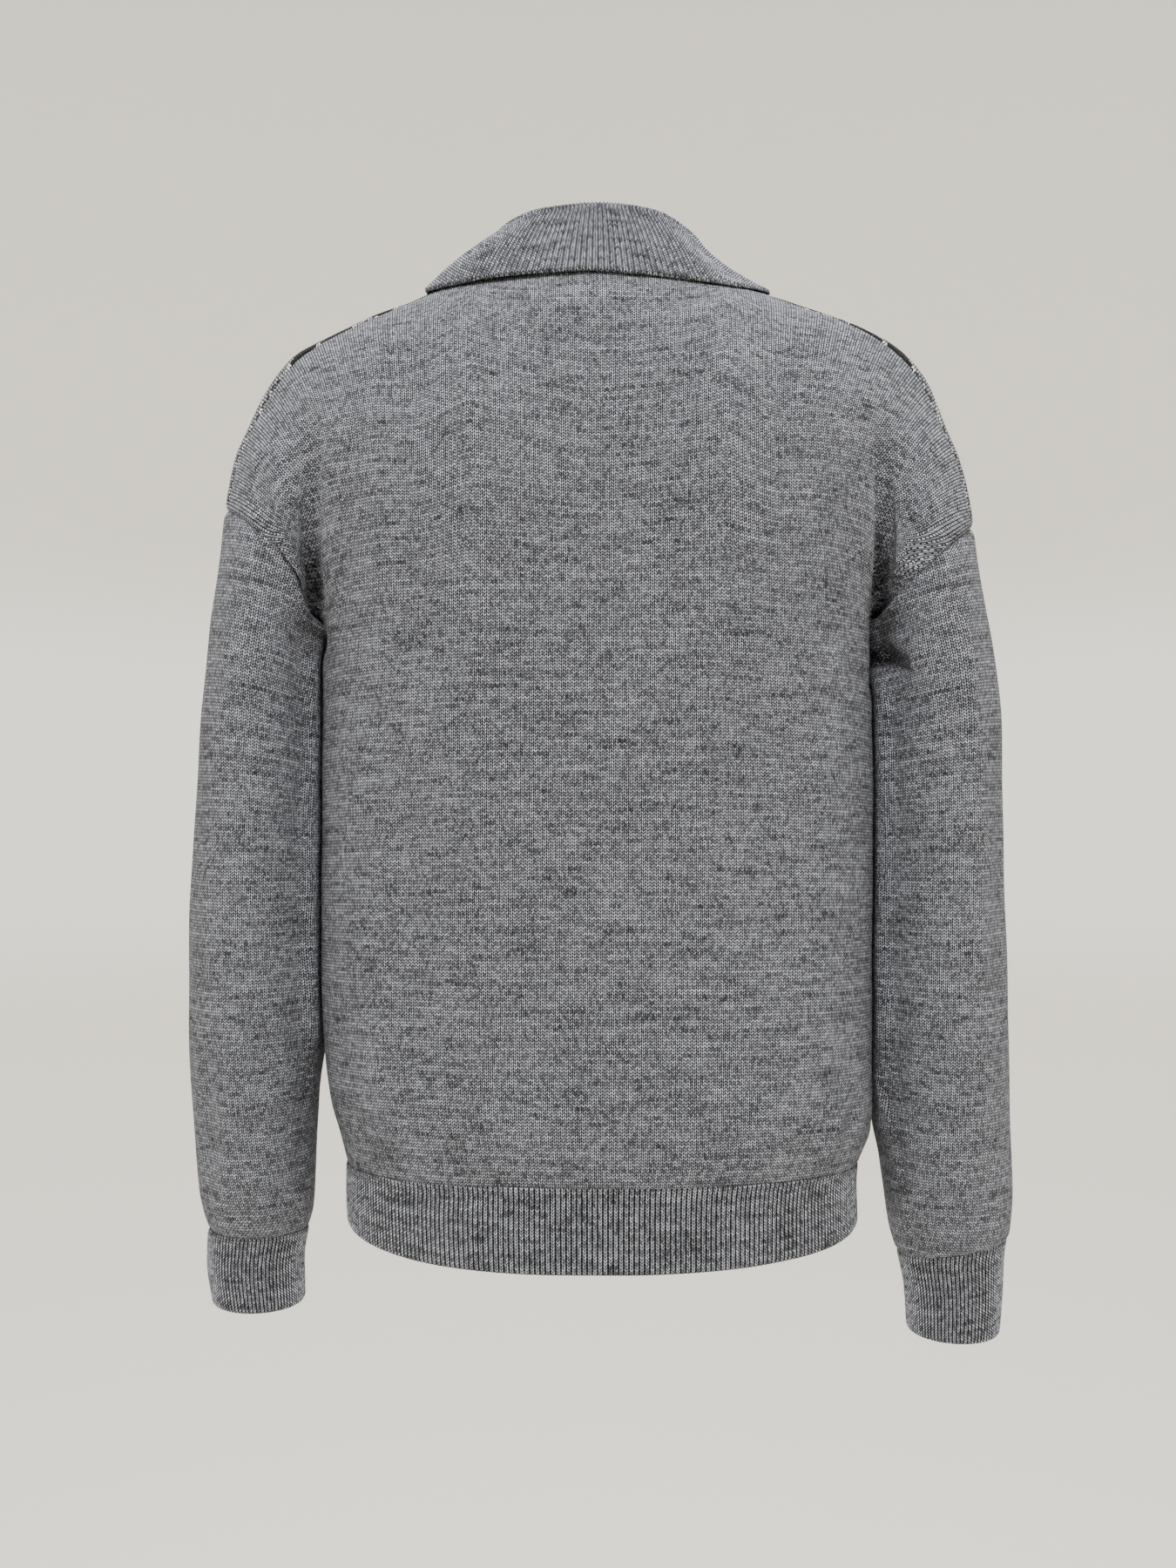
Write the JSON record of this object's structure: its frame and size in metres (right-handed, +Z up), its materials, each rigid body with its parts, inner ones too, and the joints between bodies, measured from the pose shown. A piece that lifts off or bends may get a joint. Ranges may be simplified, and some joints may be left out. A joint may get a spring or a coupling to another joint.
{
  "type": "polo sweater",
  "caption": "Grey marled knit polo sweater with a ribbed turn-down collar, dropped shoulders, ribbed cuffs and hem, and a patterned front, held in its worn shape.",
  "frame": {"origin": "middle of the neck opening between the two neck points, where the garment rests on the wearer's shoulders", "axes": "+Z up the wearer; +X to the wearer's left; +Y out of the wearer's back, so the back panel faces +Y"},
  "size_m": [0.5246, 0.2383, 0.7013],
  "materials": {
    "grey_knit": "soft marled stockinette knit",
    "patterned_knit": "soft two-colour jacquard knit",
    "grey_rib": "soft marled rib knit",
    "button": "smooth, slightly glossy"
  },
  "bodies": {
    "root": {"back_panel": "grey_knit", "button_1": "button", "button_2": "button", "button_3": "button", "collar": "grey_rib", "cuff_left": "grey_rib", "cuff_right": "grey_rib", "front_panel": "patterned_knit", "hem_rib_back": "grey_rib", "hem_rib_front": "grey_rib", "placket_over": "grey_rib", "placket_under": "grey_rib", "sleeve_left": "grey_knit", "sleeve_right": "grey_knit"}
  },
  "joints": []
}
